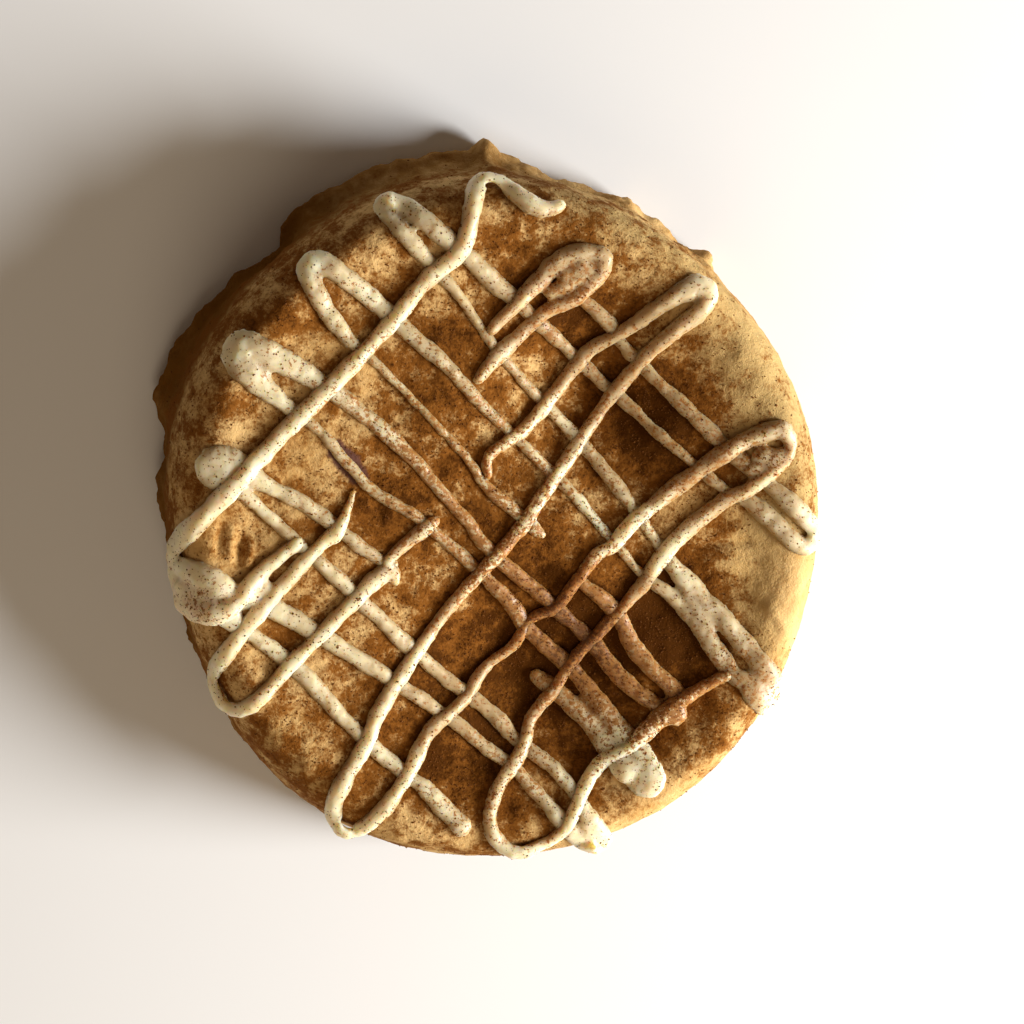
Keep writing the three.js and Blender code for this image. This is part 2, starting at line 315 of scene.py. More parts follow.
@dataclass(frozen=True)
class DoughFinish:
    """Baked dough: mottled gold, browner down the wall, with cinnamon and a spot of melted sugar."""

    pale: Colour = (0.52, 0.35, 0.14)
    gold: Colour = (0.7, 0.46, 0.195)
    deep: Colour = (0.5, 0.275, 0.085)
    crust: Colour = (0.195, 0.083, 0.012)
    cinnamon: Colour = (0.225, 0.081, 0.012)
    dark_cinnamon: Colour = (0.08, 0.025, 0.0025)
    sugar: Colour = (0.13, 0.055, 0.04)

    def material(self) -> bpy.types.Material:
        """Build the finish from the dust, the crust colour with its band of painted light, and the sugar that
        the dough keeps for each corner.
        """
        bench = Bench("baked dough")
        mottle = bench.noise(7, 3, 0.55)
        drift = bench.noise(3.4, 2, 0.5)
        crumb = bench.noise(1.2, 4, 0.65)
        grain = bench.noise(0.42, 3, 0.65)
        sand = bench.noise(0.2, 2, 0.6)
        dust = bench.attribute("dust")
        bake_and_painted_light = bench.attribute("bake_and_painted_light")
        baked = bench.between(bench.sum((mottle, 0.6), (crumb, 0.4)), 0.34, 0.66)
        ground = bench.blend(baked, self.gold, self.deep)
        # Below nought the ground goes to the pale crust; near nought, as in the band of painted light inside
        # the right rim, it stays gold
        ground = bench.blend(bench.between(bake_and_painted_light, 0, -0.6), ground, self.pale)
        browned = bench.between(bench.sum((bake_and_painted_light, 1), (mottle, 0.5), (crumb, 0.4)), 0.45, 1.25)
        ground = bench.blend(browned, ground, self.crust)
        level = bench.sum((dust, 1.3), (mottle, 0.7), (drift, 1.3), (crumb, 1.35), (grain, 1), (sand, 0.35))
        colour = bench.blend(bench.between(level, 2.58, 3.18), ground, self.cinnamon)
        colour = bench.blend(bench.between(level, 3.15, 3.7), colour, self.dark_cinnamon)
        melted = bench.between(bench.sum((bench.attribute("sugar"), 1), (crumb, 0.6)), 0.65, 0.95)
        colour = bench.blend(melted, colour, self.sugar)
        bench.bump(bench.sum((crumb, 0.8), (grain, 0.6), (sand, 0.3)), 0.5, 0.5)
        bench.set(Base_Color=colour, Roughness=0.85, Specular_IOR_Level=0.04)
        bench.set(Coat_Weight=melted, Coat_Roughness=0.2)
        bench.set(Subsurface_Weight=0.08, Subsurface_Scale=MM, Subsurface_Radius=(2.2, 1.1, 0.5))
        return bench.material


@dataclass(frozen=True)
class IcingFinish:
    """Set icing: cream with a soft sheen, a little clear at its thin edges, with painted shade on its flanks
    and in the hollows, and dotted with cinnamon.
    """

    cream: Colour = (0.9, 0.765, 0.53)
    warm: Colour = (0.82, 0.655, 0.41)
    # Edge colour: thin icing that is clear over the dough, and painted shade on the flanks and in the shaded
    # hollows
    edge: Colour = (0.47, 0.335, 0.175)
    cinnamon: Colour = (0.4, 0.185, 0.05)
    speck: Colour = (0.2, 0.082, 0.023)

    def material(self) -> bpy.types.Material:
        """Build the finish from the dust and depth that the icing keeps for each corner; the depth is lowered
        as painted shade in the hollows.
        """
        bench = Bench("cream icing")
        cloud = bench.noise(3.2, 2, 0.5)
        drift = bench.noise(2.4, 2, 0.5)
        crumb = bench.noise(0.8, 3, 0.6)
        grain = bench.noise(0.46, 3, 0.65)
        dust = bench.attribute("dust")
        depth = bench.attribute("depth")
        ground = bench.blend(bench.between(cloud, 0.4, 0.75), self.cream, self.warm)
        # The thin mask is partly the clear thin edge and partly painted shade, on the flanks and, through the
        # depth, in the hollows
        thin = bench.between(bench.sum((depth, 1), (cloud, 0.6)), 1.15, 0.3)
        ground = bench.blend(thin, ground, self.edge)
        level = bench.sum((dust, 1.2), (thin, 0.1), (drift, 0.4), (crumb, 0.9), (grain, 2))
        colour = bench.blend(bench.between(level, 2.12, 2.38), ground, self.cinnamon)
        colour = bench.blend(bench.between(level, 2.56, 2.86), colour, self.speck)
        bench.bump(bench.sum((crumb, 0.6), (grain, 0.5)), 0.2, 0.4)
        bench.set(Base_Color=colour, Roughness=0.42, Specular_IOR_Level=0.4)
        bench.set(Subsurface_Weight=0.85, Subsurface_Scale=MM, Subsurface_Radius=(2.4, 1.7, 0.9))
        return bench.material


@dataclass(frozen=True)
class CinnamonFinish:
    """Ground cinnamon: dull grains, from dark to mid brown."""

    dark: Colour = (0.13, 0.047, 0.012)
    light: Colour = (0.19, 0.072, 0.018)

    def material(self) -> bpy.types.Material:
        """Build the finish from the tone that each grain keeps."""
        bench = Bench("ground cinnamon")
        tone = bench.sum((bench.attribute("tone"), 0.8), (bench.noise(0.2, 2), 0.2))
        bench.set(Base_Color=bench.blend(tone, self.dark, self.light), Roughness=0.9, Specular_IOR_Level=0.05)
        return bench.material


@dataclass(frozen=True)
class FloorFinish:
    """The studio's plain pale floor."""

    pale: Colour = (0.86, 0.88, 0.91)

    def material(self) -> bpy.types.Material:
        """Build the finish with a trace of cloud in its roughness."""
        bench = Bench("pale floor")
        bench.set(Base_Color=self.pale, Roughness=bench.between(bench.noise(120, 2), -1.5, 1.6))
        return bench.material


@dataclass
class Dusting:
    """Where the cinnamon lies, from none at nought to thick past one, over the dough and over the icing."""

    dough_base: float = 0.45
    dough_most: float = 1.25
    icing_base: float = 0.2
    icing_most: float = 1
    dough_patches: tuple[Patch, ...] = oval_patches(
        (25, -26, 7, 4.5, 40, 0.05), (6, -17, 19, 13, -30, 0.55), (25, -11, 7, 6, -50, 0.35),
        (19, -13, 8, 7, -50, 0.35), (25, -15, 5, 5, 0, 0.35), (20.5, 12.5, 6, 5, -45, 0.35),
        (-6, 23, 5, 4, -45, 0.3), (0, -3, 13, 10, -45, 0.12), (21, 13, 11, 8, -45, 0.5),
        (8, 28, 8, 6, -20, 0.5), (-8, 13, 9, 6, -45, 0.2), (-16, 4, 5, 6, -45, 0.28),
        (4, 37, 7, 5, 0, 0.15), (-25, 30, 5, 4, -45, 0.2), (-5, -32, 11, 8, 0, 0.45),
        (-9, -23, 5, 5, 0, 0.25), (-25, 10, 5, 8, 0, -0.22), (-19, 21, 5, 4, -45, -0.18),
        (-5, -9, 7, 4, -10, -0.22), (-38, -5, 8, 9, 0, -0.25), (6, -33, 4, 3, 0, -0.25),
        (-14, -42, 14, 4, 10, -0.22), (29, 8, 6, 8, 0, -0.15), (22, -2, 5, 4, 0, -0.15),
        (34, -7, 5, 7, 0, -0.5), (39, -11, 5, 10, 0, -0.45), (37, 22, 8, 15, 30, -0.35),
        (20, -39, 12, 4, 35, -0.4), (16, 37, 12, 6, -35, -0.12), (26, 20, 7, 8, -30, -0.15),
    )
    icing_patches: tuple[Patch, ...] = oval_patches(
        (9, -15, 14, 9, -56, 0.3), (11, -16, 9, 6, -50, 0.4), (18, 12, 15, 10, -45, 0.12),
        (8, 29, 6, 4, 30, 0.28), (26, 7, 9, 7, 30, 0.1), (24, -24, 8, 5, 35, 0.42),
        (34, 8, 4, 3, 30, 0.18), (-39, -9, 4, 3, 0, 0.2), (-6, 5, 22, 12, -45, 0.32),
        (-2, -34, 12, 8, 0, 0.18), (38, -25, 6, 6, 0, 0.18),
    )

    def on_dough(self, x: np.ndarray, y: np.ndarray) -> np.ndarray:
        """Give the dust on the dough: a thin even coat with thick and bare patches."""
        return np.clip(self.dough_base + patches_at(self.dough_patches, x, y), 0, self.dough_most)

    def on_icing(self, x: np.ndarray, y: np.ndarray) -> np.ndarray:
        """Give the dust on the icing: a thinner coat with patches of its own."""
        return np.clip(self.icing_base + patches_at(self.icing_patches, x, y), 0, self.icing_most)


@dataclass
class Dough:
    """The cookie's dough: a thick round with a craggy foot, a steep wall and a sunken, rumpled top."""

    foot_radius: float = 45.1
    foot_height: float = 2.4
    sole_inset: float = 2.2
    dome_height: float = 16.2
    wall_power: float = 26
    crown_power: float = 2.4
    wall_share: float = 0.85
    skirt_width: float = 2.4
    skirt_bearing: float = 108
    skirt_spread: float = 42
    skirt_height: float = 1.7
    # Broad lobes of the outline: how many go round it, their height, and the bearing of a crest
    lobes: Places = ((2, 1.9, 108), (3, 0.5, 0), (5, 0.35, 19))
    # Crags and notches of the foot: bearing, how far each juts out, and half its width in degrees
    crags: Places = (
        (48, 1.3, 2.5), (65, 0.6, 4), (77, -1.4, 5), (90, 2, 2), (130, -2.6, 4.5), (140, -0.7, 3),
        (153, 1.3, 7), (160, 1.5, 2.5), (169, -0.9, 3), (183, -0.7, 4), (317, -0.5, 4), (334, 0.5, 3),
        (342, -0.8, 2.5),
    )
    crag_rise: float = 4
    swells: tuple[Patch, ...] = oval_patches(
        (11, 16, 11, 13, -20, -3.6), (3, -20, 16, 11, -30, -4), (22, -7, 9, 12, 0, -1.2),
        (-31, 4, 14, 28, 10, 1.2),
    )
    swell_fade: float = 36
    rim_height: float = 1.5
    rim_share: float = 0.91
    rim_width: float = 0.11
    creases: tuple[Crease, ...] = (
        Crease(25, -3.8, 35, -3.4, 0.7, -0.35),
        Crease(26, -5.4, 34, -6.8, 0.9, 0.3),
        Crease(31.5, -12.9, 34.4, -19.3, 0.8, -0.4),
        Crease(35, -11, 39, -17, 0.8, 0.3),
        Crease(-36, 1.9, -37, -3.7, 0.5, -0.45),
        Crease(-34.8, 1.7, -35.3, -4.4, 0.5, 0.4),
        Crease(-33.4, 0.7, -34.4, -5.1, 0.5, -0.45),
        Crease(-32.5, -0.8, -33.1, -5.5, 0.5, 0.4),
    )
    # Browning of the wall: its strength, and the heights where it starts and is full
    wall_browning: float = 0.75
    brown_from: float = 13.5
    brown_full: float = 8
    # Crust that is paler than the top, with one band between that is less so: that band, on the right rim's
    # inner slope, is painted light, gold and lighter than the pale crust round it
    pale_crust_and_painted_light: tuple[Patch, ...] = oval_patches(
        (42, -8, 10, 22, 0, -0.8), (36, 22, 11, 18, 30, -0.5), (17, 43, 16, 6, -28, -0.7),
        # The last patch is painted light: a band on the right rim's inner slope is kept gold, lighter than
        # the pale crust
        (-8, 46, 14, 4, 8, -0.5), (-31, -31, 14, 7, -45, -0.25), (39.5, -10, 4, 11, 0, 0.7),
    )
    sugar: Patch = Patch(-20, 8.5, 4.5, 1.8, -50, 1)
    # Heights between which the dust on the wall thickens
    dust_from: float = 3
    dust_full: float = 9
    lump_height: float = 0.35
    lump_length: float = 9
    crumb_height: float = 0.12
    crumb_length: float = 2.2
    foot_crumb_height: float = 0.6
    foot_crumb_length: float = 3.2
    foot_crumb_reach: float = 5.5
    crumb_full: float = 1.6
    coarse_shift: float = 40
    fine_shift: float = 80
    segments: int = 560
    sole_rings: int = 5
    edge_rings: int = 8
    wall_rings: int = 46
    crown_rings: int = 118
    noise: CrumbNoise = field(default_factory=lambda: CrumbNoise(11))
    finish: DoughFinish = field(default_factory=DoughFinish)

    def skirt(self, bearing: np.ndarray) -> np.ndarray:
        """Give how far the foot spreads past the wall: a bell round one bearing."""
        away = turn_between(bearing, math.radians(self.skirt_bearing))
        return self.skirt_width * bell(away, math.radians(self.skirt_spread))

    def dome_radius(self, bearing: np.ndarray) -> np.ndarray:
        """Give the wall's radius: the foot's, less the skirt, with a few broad lobes."""
        radius = self.foot_radius - self.skirt(bearing)
        for count, height, crest in self.lobes:
            radius = radius + height * np.cos(count * (bearing - math.radians(crest)))
        return radius

    def crag(self, bearing: np.ndarray) -> np.ndarray:
        """Give the crags and notches of the foot: a bell for each one."""
        reach = np.zeros(np.shape(bearing))
        for place, height, half_width in self.crags:
            reach += height * bell(turn_between(bearing, math.radians(place)), math.radians(half_width))
        return reach

    def swell(self, x: np.ndarray, y: np.ndarray) -> np.ndarray:
        """Add up the top's broad swells and hollows, its creases and its lumps."""
        height = patches_at(self.swells, x, y)
        height += sum(crease.rise(x, y) for crease in self.creases)
        flat = np.stack([x, y, np.zeros(np.shape(x))], axis=-1)
        return height + self.lump_height * self.noise.layered(flat, self.lump_length, 3)

    def top_height(self, x: np.ndarray, y: np.ndarray) -> np.ndarray:
        """Give the top's height: a flat-topped dome with the swells fading out to its edge.

        Args:
            x: places across, in millimetres from the axis.
            y: places up the plan, in millimetres from the axis.

        Returns:
            Heights over the sole's plane, in millimetres.
        """
        share = np.minimum(np.hypot(x, y) / self.dome_radius(np.arctan2(y, x)), 1)
        dome = (1 - share**self.wall_power) ** (1 / self.crown_power)
        rise = (self.dome_height - self.foot_height) * dome
        swell = self.swell(x, y) + self.rim_height * bell(share - self.rim_share, self.rim_width)
        return self.foot_height + rise + swell * (1 - share**self.swell_fade)

    def top_normal(self, x: np.ndarray, y: np.ndarray, reach: float = 0.6) -> np.ndarray:
        """Give the top's normal from how the height falls over a short reach each way."""
        fall_x = self.top_height(x - reach, y) - self.top_height(x + reach, y)
        fall_y = self.top_height(x, y - reach) - self.top_height(x, y + reach)
        normal = np.stack([fall_x, fall_y, np.full(np.shape(x), 2 * reach)], axis=-1)
        return normal / np.linalg.norm(normal, axis=-1, keepdims=True)

    def skin(self) -> np.ndarray:
        """Work out the skin as rings from the sole's middle, round the foot, up the wall and over the top.

        The sole is flat, the lower edge a quarter round, the wall a superellipse spread by the skirt and the
        crags near its foot, and the top the height over rings that close in evenly.

        Returns:
            Places in rings, then round each ring.
        """
        bearing = np.linspace(0, 2 * math.pi, self.segments, endpoint=False)
        dome = self.dome_radius(bearing)
        skirt = self.skirt(bearing)
        crag = self.crag(bearing)
        foot = dome + skirt + crag
        sole = np.linspace(0, 1, self.sole_rings + 1)[1:, None] * (foot - self.sole_inset)
        turn = np.linspace(0, math.pi / 2, self.edge_rings + 1)[1:, None]
        edge = foot - self.sole_inset * (1 - np.sin(turn))
        climb = np.linspace(0, self.wall_share, self.wall_rings + 1)[1:, None]
        rise = climb * (self.dome_height - self.foot_height)
        share = (1 - climb**self.crown_power) ** (1 / self.wall_power)
        wall = dome * share + skirt * bell(rise, self.skirt_height) + crag * bell(rise, self.crag_rise)
        crown = dome * share[-1] * np.linspace(1, 0, self.crown_rings + 1)[1:-1, None]
        radius = np.concatenate([sole, edge, wall, crown])
        x = radius * np.cos(bearing)
        y = radius * np.sin(bearing)
        rows = np.cumsum([self.sole_rings, self.edge_rings, self.wall_rings])
        height = np.zeros(radius.shape)
        height[rows[0]:rows[1]] = self.foot_height * (1 - np.cos(turn))
        swell = self.swell(x[rows[1]:rows[2]], y[rows[1]:rows[2]])
        swell += self.rim_height * bell(share - self.rim_share, self.rim_width)
        height[rows[1]:rows[2]] = self.foot_height + rise + swell * (1 - share**self.swell_fade)
        height[rows[2]:] = self.top_height(x[rows[2]:], y[rows[2]:])
        return np.stack([x, y, height], axis=-1)

    def crumbled(self, skin: np.ndarray) -> np.ndarray:
        """Push the skin out and in along its normals by crumb noise, coarser and deeper near the foot.

        Args:
            skin: places in rings, then round each ring.

        Returns:
            The same places with the crumb; the flat sole stays as it is.
        """
        around = np.roll(skin, -1, axis=1) - np.roll(skin, 1, axis=1)
        normal = np.cross(around, np.gradient(skin, axis=0))
        normal /= np.linalg.norm(normal, axis=-1, keepdims=True)
        height = skin[..., 2]
        low = bell(height - self.foot_height, self.foot_crumb_reach)
        coarse = self.noise.layered(skin + self.coarse_shift, self.foot_crumb_length, 4)
        fine = self.noise.layered(skin + self.fine_shift, self.crumb_length, 3)
        crumb = self.foot_crumb_height * low * coarse + self.crumb_height * fine
        return skin + normal * (crumb * step_up(height, 0, self.crumb_full))[..., None]

    def browning_and_painted_light(self, points: np.ndarray) -> np.ndarray:
        """Give how browned the crust is: most on the wall and the sole, and paler than the top on one rim,
        with a band of painted light on that rim's inner slope.
        """
        wall = step_up(-points[:, 2], -self.brown_from, -self.brown_full) * self.wall_browning
        return wall + patches_at(self.pale_crust_and_painted_light, points[:, 0], points[:, 1])

    def build(self, dusting: Dusting) -> bpy.types.Object:
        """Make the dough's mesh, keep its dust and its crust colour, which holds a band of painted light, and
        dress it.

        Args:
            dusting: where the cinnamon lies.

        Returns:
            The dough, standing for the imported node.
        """
        skin = self.crumbled(self.skin())
        rings, around = skin.shape[:2]
        top = np.array([[0, 0, skin[-1, :, 2].mean()]])
        points = np.concatenate([np.zeros((1, 3)), skin.reshape(-1, 3), top])
        number = 1 + np.arange(rings * around).reshape(rings, around)
        after = np.roll(number, -1, axis=1)
        walls = np.stack([number[:-1], after[:-1], after[1:], number[1:]], axis=-1).reshape(-1, 4)
        sole = np.stack([np.zeros(around, int), after[0], number[0]], axis=-1)
        crown = np.stack([number[-1], after[-1], np.full(around, len(points) - 1)], axis=-1)
        piece = mesh_object("dough", points, [*sole.tolist(), *walls.tolist(), *crown.tolist()])
        dust = dusting.on_dough(points[:, 0], points[:, 1])
        mark(piece, "dust", dust * step_up(points[:, 2], self.dust_from, self.dust_full))
        mark(piece, "bake_and_painted_light", self.browning_and_painted_light(points))
        mark(piece, "sugar", patches_at((self.sugar,), points[:, 0], points[:, 1]))
        piece.data.materials.append(self.finish.material())
        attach(piece, "root")
        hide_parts("cookie")
        return piece


class Pass(Enum):
    """The two passes of the drizzle, by the names of their pieces."""

    FIRST = "drizzle_under"
    SECOND = "drizzle_over"

    @property
    def fullness(self) -> float:
        """Give how tall the pass stands: the first one has sunk into the warm dough."""
        return 0.66 if self is Pass.FIRST else 0.92

    @property
    def soak_and_shade_weight(self) -> float:
        """Give how strongly the seeping and the painted shade tell on the pass: the second one lies higher,
        over the first.
        """
        return 1 if self is Pass.FIRST else 1.5


# Strokes and pools of each pass: places in plan from the dough's axis, and the bead's width there
FIRST_STROKES: tuple[Places, ...] = (
    # from the loop at the top, round the right hairpin and the top left one, to the lower right end
    (
        (9.5, 30, 2.1), (14.5, 25.5, 2.1), (16, 23, 1.8), (28, 11, 2.4), (41.5, -2, 2.8), (41.5, -3.5, 2.8),
        (40, -4, 2.8), (33, 2, 2.5), (30.5, 3, 1.8), (-14, 42, 3.1), (-15, 41.5, 3.1), (-5, 29, 1.5),
        (-0.5, 22.5, 1.5), (13, 7.5, 2.1), (21, -3.5, 1.8), (23, -6.5, 2.5), (29.5, -13.5, 3.1),
        (37, -23, 3.6), (38.5, -26, 4.5),
    ),
    # back from the lower right end, round the upper left hairpin, to the middle
    (
        (36, -25, 3.9), (33, -22, 3.1), (31, -21, 2.5), (29.5, -19, 2.8), (24.5, -12, 2.5), (18.5, -7, 1.5),
        (10, 3, 1.7), (-1.5, 14.5, 1.7), (-8, 21.5, 2.1), (-12, 25, 2.4), (-14, 27, 2.5), (-24, 34.5, 3.2),
        (-25, 33.5, 3.2), (-20, 24.5, 2.2), (-16.5, 21.5, 1.4), (-4, 8, 1.4), (-2.5, 5.5, 1.7),
        (5.5, -2, 1.8), (5.5, -2.5, 1.3),
    ),
    # the same run once more, past the spice in the middle
    (
        (10, -7.5, 1.4), (10.5, -8, 2), (15.5, -12.5, 2.4), (18, -17.5, 2.5), (23.5, -23.5, 2.7),
        (24.5, -25.5, 2.8),
    ),
    # back up, round the left hairpin, and down to the lower blob
    (
        (22, -25.5, 2.8), (18, -23, 2.5), (10, -14, 2.2), (-2, -3, 2.1), (-5, 1, 1.8), (-17, 14, 2.5),
        (-33.5, 24, 3.8), (-34, 22.5, 3.9), (-31.5, 19.5, 3.8), (-28.5, 16.5, 2.4), (-24, 13, 1.7),
        (-16.5, 4.5, 1.8), (-11.5, 1.5, 1.7), (2, -11.5, 2.2), (3.5, -14, 2.4), (11, -21.5, 2.7),
        (17, -30, 3.8), (18.5, -33, 5.2), (20.5, -37, 5.2),
    ),
    # a short run beside it
    ((4.5, -20.5, 2.4), (11.5, -26.5, 2.9), (17.5, -35, 3.6)),
    # from the left blob to the bottom end and back
    (
        (-13.5, -5.5, 1.8), (-16.5, -4, 1.8), (-24.5, 2.5, 2.4), (-30.5, 6, 2.4), (-35.5, 9, 5),
        (-37.5, 8.5, 5.3), (-35.5, 7, 4.8), (-32.5, 4, 2.1), (-22, -6, 2.2), (-9.5, -18.5, 2.2),
        (0, -26.5, 2.2), (1.5, -28.5, 2.2), (7.5, -33.5, 2.1), (10.5, -37.5, 2.4), (13, -44, 4.5),
        (11, -43, 3.4), (1.5, -32.5, 2), (-2.5, -29.5, 2), (-6.5, -26, 2), (-33, -8.5, 3.4),
        (-34.5, -8.5, 3.9), (-37.5, -9, 4.5),
    ),
    # the lowest run
    (
        (-37.5, -9.5, 3.9), (-33, -13, 2.4), (-26, -19, 2.5), (-19.5, -26.5, 2.2), (-12.5, -33, 2.2),
        (-11, -34, 2.2), (-4.5, -41, 3.6),
    ),
)

SECOND_STROKES: tuple[Places, ...] = (
    # from the knob at the top down to the left blob and back
    (
        (8.5, 41, 1.8), (5, 40.5, 2.7), (-2, 44.5, 2.5), (-5.5, 35.5, 2.7), (-9.5, 32, 2.5), (-14.5, 26, 2.4),
        (-43, -4.5, 3.4), (-41.5, -9, 4.2), (-39.5, -10, 3.9), (-36, -10, 2.5), (-32, -6, 2.4),
        (-26, -1, 1.8),
    ),
    # the left lower loop
    (
        (-19, 5, 0.7), (-21.5, -0.5, 2.1), (-23.5, -2, 2.1), (-36.5, -17, 2.5), (-37, -21.5, 2.7),
        (-34.5, -23.5, 2.4), (-25, -15, 2.1), (-14.5, -6, 2.4), (-13.5, -8, 1.4),
    ),
    # the top loop
    (
        (-2, 25, 1.5), (-1.5, 25, 1.8), (9.5, 35, 2.8), (13, 34.5, 2.8), (13, 32.5, 2.7), (9.5, 29, 2.5),
        (5.5, 27, 2.2), (-0.5, 21.5, 2.4), (-3.5, 18, 1.4),
    ),
    # the long run over the upper right, lower left, right and bottom loops
    (
        (-1.5, 5.5, 1.3), (-1.5, 8.5, 1.8), (4, 12.5, 2.1), (12.5, 22.5, 2.1), (15.5, 24, 2),
        (25.5, 30.5, 3.2), (27, 30, 3.1), (26.5, 28, 2.8), (20.5, 22.5, 2.2), (10, 9, 2), (4.5, 1.5, 2.1),
        (3.5, 0, 2.2), (-6, -10.5, 2), (-15, -22.5, 2.4), (-17.5, -27.5, 2.4), (-22, -36, 2.7),
        (-21, -40, 2.8), (-19.5, -40.5, 2.7), (-12.5, -33, 2.2), (-9, -27, 2.1), (-4.5, -23.5, 2.1),
        (-2, -20, 1.8), (2.5, -16.5, 1.7), (4, -13.5, 1.7), (7.5, -11.5, 1.7), (9.5, -9, 1.7), (13, -4.5, 2),
        (15, -3.5, 2.1), (16.5, -1.5, 2.2), (33, 10.5, 2.7), (37, 11.5, 2.7), (38, 8.5, 1.7),
        (32.5, 3.5, 2.4), (30, 2.5, 2.5), (23, -3.5, 2.4), (18.5, -9.5, 2), (10, -19, 1.7), (7.5, -23, 2),
        (4.5, -26.5, 1.8), (3, -30.5, 2), (-1, -36.5, 2.1), (-1.5, -40.5, 2.2), (1.5, -43.5, 2.4),
        (7.5, -41.5, 2), (13, -33, 2.2), (17.5, -30.5, 2.1), (22, -26, 2.5), (25.5, -23.5, 2),
        (30.8, -20.8, 1.7),
    ),
    # a short run by the middle
    ((-15.5, -5, 1.8), (-9.5, 0, 2.1), (-8, 1, 1.4)),
)

FIRST_POOLS: tuple[Places, ...] = (
    # icing run together between the first two runs
    ((24.5, -10, 2), (27, -13.5, 2.8), (28.5, -15.5, 2.2)),
    # the broad end of the web
    ((32, -21.5, 2.2), (34, -23.5, 4.2), (37, -26.5, 3.9)),
)

SECOND_POOLS: tuple[Places, ...] = (
    # the left blob's middle
    ((-42, -4.5, 3.4), (-39.5, -5.5, 4.2), (-34.5, -8, 2.8)),
    # the left blob's lower edge
    ((-42.5, -7, 3.9), (-39.5, -8.5, 4.5), (-36.5, -9, 3.4)),
    # icing run together beside it
    ((-33.5, -9.5, 2), (-31.5, -8, 2), (-30, -6.5, 1.3)),
    # icing run together in the top loop
    ((5.5, 29.5, 1.7), (9.5, 31.5, 2.4), (12.5, 34, 2.2)),
    # more of it, higher up
    ((7.5, 31.5, 2.4), (11.5, 34, 2.7)),
    # icing run together in the right loop
    ((32, 6, 2), (35, 7, 2.8), (37.5, 9, 2.2)),
    # more of it, at the loop's bend
    ((33, 7.5, 2.1), (36, 9, 2.4)),
    # the spur at its end
    ((25, -27, 2), (24, -26.5, 3.1), (22, -26.5, 2.8), (20.5, -28, 2.2)),
)

LAID = {Pass.FIRST: (FIRST_STROKES, FIRST_POOLS), Pass.SECOND: (SECOND_STROKES, SECOND_POOLS)}


class Relief:
    """The icing laid so far, as its height over the dough on a square raster."""

    BRUSH = 9

    def __init__(self, reach: float = 52, cell: float = 0.25) -> None:
        """Start with bare dough out to the reach each way, in cells of this width in millimetres."""
        self.reach = reach
        self.cell = cell
        self.count = int(2 * reach / cell)
        self.height = np.zeros(self.count * self.count)

    def numbers(self, x: np.ndarray, y: np.ndarray) -> np.ndarray:
        """Give the number of the cell that each place lies in."""
        column = np.clip(((x + self.reach) / self.cell).astype(int), 0, self.count - 1)
        row = np.clip(((y + self.reach) / self.cell).astype(int), 0, self.count - 1)
        return row * self.count + column

    def lay(self, path: np.ndarray, half_width: np.ndarray, top: np.ndarray) -> None:
        """Raise the raster to a bead's round back along its path.

        Args:
            path: places along the bead, in plan.
            half_width: half the bead's width at each place.
            top: height of its top over the dough at each place.
        """
        span = np.arange(-self.BRUSH, self.BRUSH + 1) * self.cell
        aside, along = np.meshgrid(span, span)
        away = np.hypot(aside, along).ravel() / half_width[:, None]
        back = top[:, None] * np.sqrt(np.clip(1 - away**2, 0, None))
        spots = self.numbers(path[:, :1] + aside.ravel(), path[:, 1:2] + along.ravel())
        np.maximum.at(self.height, spots.ravel(), back.ravel())

    def at(self, x: np.ndarray, y: np.ndarray) -> np.ndarray:
        """Read the icing's height at each place."""
        return self.height[self.numbers(x, y)]


def carried_curve(places: np.ndarray, step: float) -> np.ndarray:
    """Carry a smooth curve through places, with knots spaced by the root of their distance.

    Each stretch is a cubic whose end slopes come from the three nearest places; the curve is then cut at
    even steps of its length.

    Args:
        places: places in plan with a width each.
        step: length between the samples, in millimetres.

    Returns:
        The samples in the same columns.
    """
    ends = np.vstack([2 * places[0] - places[1], places, 2 * places[-1] - places[-2]])
    gaps = np.sqrt(np.maximum(np.linalg.norm(np.diff(ends, axis=0), axis=1), 1e-3))[:, None]
    slopes = np.diff(ends, axis=0) / gaps
    corner = slopes[:-1] - (ends[2:] - ends[:-2]) / (gaps[:-1] + gaps[1:]) + slopes[1:]
    leave = corner[:-1] * gaps[1:-1]
    arrive = corner[1:] * gaps[1:-1]
    start = places[:-1]
    leap = places[1:] - start
    share = np.linspace(0, 1, 48, endpoint=False)[:, None, None]
    bend = 3 * leap - 2 * leave - arrive
    twist = leave + arrive - 2 * leap
    cubic = start + share * (leave + share * (bend + share * twist))
    fine = np.vstack([cubic.transpose(1, 0, 2).reshape(-1, 3), places[-1:]])
    length = np.concatenate([[0], np.cumsum(np.linalg.norm(np.diff(fine[:, :2], axis=0), axis=1))])
    even = np.linspace(0, length[-1], max(int(length[-1] / step), 4))
    return np.stack([np.interp(even, length, column) for column in fine.T], axis=-1)


def eased(values: np.ndarray, reach: int) -> np.ndarray:
    """Even out a row of values by a running mean over some samples each way."""
    padded = np.pad(values, reach, mode="edge")
    return np.convolve(padded, np.full(2 * reach + 1, 1 / (2 * reach + 1)), mode="valid")


